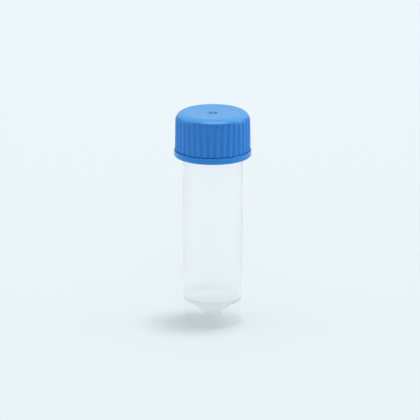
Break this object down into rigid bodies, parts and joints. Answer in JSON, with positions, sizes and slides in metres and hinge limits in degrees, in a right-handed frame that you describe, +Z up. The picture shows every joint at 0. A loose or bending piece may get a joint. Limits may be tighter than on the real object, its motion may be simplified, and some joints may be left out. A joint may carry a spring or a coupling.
{
  "type": "cryovial",
  "caption": "Self-standing cylindrical sample vial with a skirted foot and a conical floor, closed by a ribbed screw cap that holds a sealing washer.",
  "frame": {"origin": "centre of the ring that the vial stands on", "axes": "+Z up along the vial's axis, from the foot to the cap; X and Y across it"},
  "size_m": [0.0206, 0.0206, 0.058],
  "materials": {
    "translucent_polypropylene": "satin",
    "blue_polypropylene": "satin",
    "clear_silicone": "satin"
  },
  "bodies": {
    "vial": {"vial_body": "translucent_polypropylene"},
    "washer": {"sealing_washer": "clear_silicone"},
    "cap": {"screw_cap": "blue_polypropylene"}
  },
  "joints": [
    {"name": "cap_lift", "type": "slide", "parent": "vial", "child": "washer", "axis": [0, 0, 1], "range_m": [0, 0.015]},
    {"name": "cap_turn", "type": "hinge", "parent": "washer", "child": "cap", "pos_m": [0, 0, 0.0564], "axis": [0, 0, 1], "range_deg": [0, 1800]}
  ],
  "couplings": [
    {"joint": "cap_lift", "follows": "cap_turn", "m_per_rad": 0.00047746}
  ]
}
